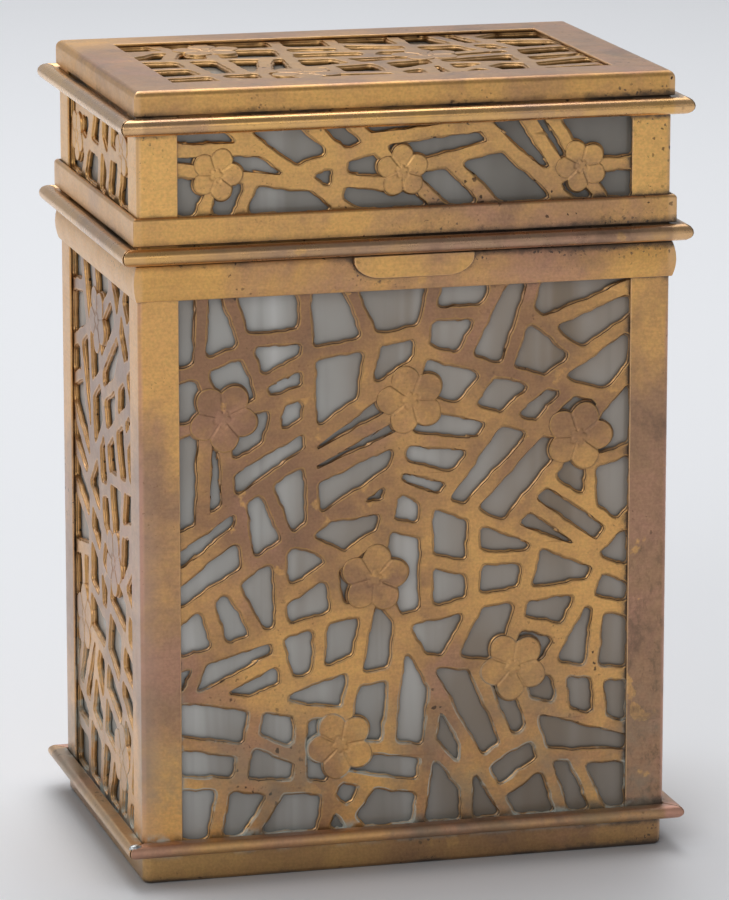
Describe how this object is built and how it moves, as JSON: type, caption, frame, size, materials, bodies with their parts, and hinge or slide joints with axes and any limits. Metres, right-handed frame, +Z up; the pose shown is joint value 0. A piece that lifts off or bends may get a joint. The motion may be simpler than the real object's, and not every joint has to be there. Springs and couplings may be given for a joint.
{
  "type": "playing card case",
  "caption": "Upright box for playing cards with a hinged lid: pierced gilt bronze walls over opal glass, corner posts, round beads at foot and lid, thumb tab at the front",
  "frame": {"origin": "under the middle of the base, on the surface that the case stands on", "axes": "X across the front from left to right, Y from the front to the hinge at the back, Z up"},
  "size_m": [0.0792, 0.0546, 0.1086],
  "materials": {
    "gilt_bronze": "satin gilding with wear",
    "worn_bronze": "gilding worn down to brown bronze",
    "opal_glass": "streaky opalescent sheet"
  },
  "bodies": {
    "case_body": {"base_tray": "worn_bronze", "base_bead_front": "worn_bronze", "base_bead_right": "worn_bronze", "base_bead_back": "worn_bronze", "base_bead_left": "worn_bronze", "corner_post_front_left": "gilt_bronze", "corner_post_front_right": "gilt_bronze", "corner_post_back_right": "gilt_bronze", "corner_post_back_left": "gilt_bronze", "rim_band": "gilt_bronze", "fretwork_front": "gilt_bronze", "fretwork_right": "gilt_bronze", "fretwork_back": "gilt_bronze", "fretwork_left": "gilt_bronze", "glass_front": "opal_glass", "glass_right": "opal_glass", "glass_back": "opal_glass", "glass_left": "opal_glass", "glass_retainer_front": "gilt_bronze", "glass_retainer_right": "gilt_bronze", "glass_retainer_back": "gilt_bronze", "glass_retainer_left": "gilt_bronze", "hinge_leaf_body": "worn_bronze", "hinge_pin": "worn_bronze"},
    "lid": {"lid_lower_bead_front": "worn_bronze", "lid_lower_bead_right": "worn_bronze", "lid_lower_bead_back": "worn_bronze", "lid_lower_bead_left": "worn_bronze", "lid_band": "gilt_bronze", "thumb_tab": "worn_bronze", "lid_corner_post_front_left": "gilt_bronze", "lid_corner_post_front_right": "gilt_bronze", "lid_corner_post_back_right": "gilt_bronze", "lid_corner_post_back_left": "gilt_bronze", "lid_fretwork_front": "gilt_bronze", "lid_fretwork_right": "gilt_bronze", "lid_fretwork_back": "gilt_bronze", "lid_fretwork_left": "gilt_bronze", "lid_glass_front": "opal_glass", "lid_glass_right": "opal_glass", "lid_glass_back": "opal_glass", "lid_glass_left": "opal_glass", "lid_glass_retainer_front": "gilt_bronze", "lid_glass_retainer_right": "gilt_bronze", "lid_glass_retainer_back": "gilt_bronze", "lid_glass_retainer_left": "gilt_bronze", "lid_upper_bead_front": "worn_bronze", "lid_upper_bead_right": "worn_bronze", "lid_upper_bead_back": "worn_bronze", "lid_upper_bead_left": "worn_bronze", "lid_top_frame": "gilt_bronze", "lid_top_fretwork": "gilt_bronze", "lid_top_glass": "opal_glass", "lid_top_retainer": "gilt_bronze", "hinge_leaf_lid": "worn_bronze"}
  },
  "joints": [
    {"name": "lid_hinge", "type": "hinge", "parent": "case_body", "child": "lid", "pos_m": [0, 0.02545, 0.0854], "axis": [-1, 0, 0], "range_deg": [0, 95]}
  ]
}
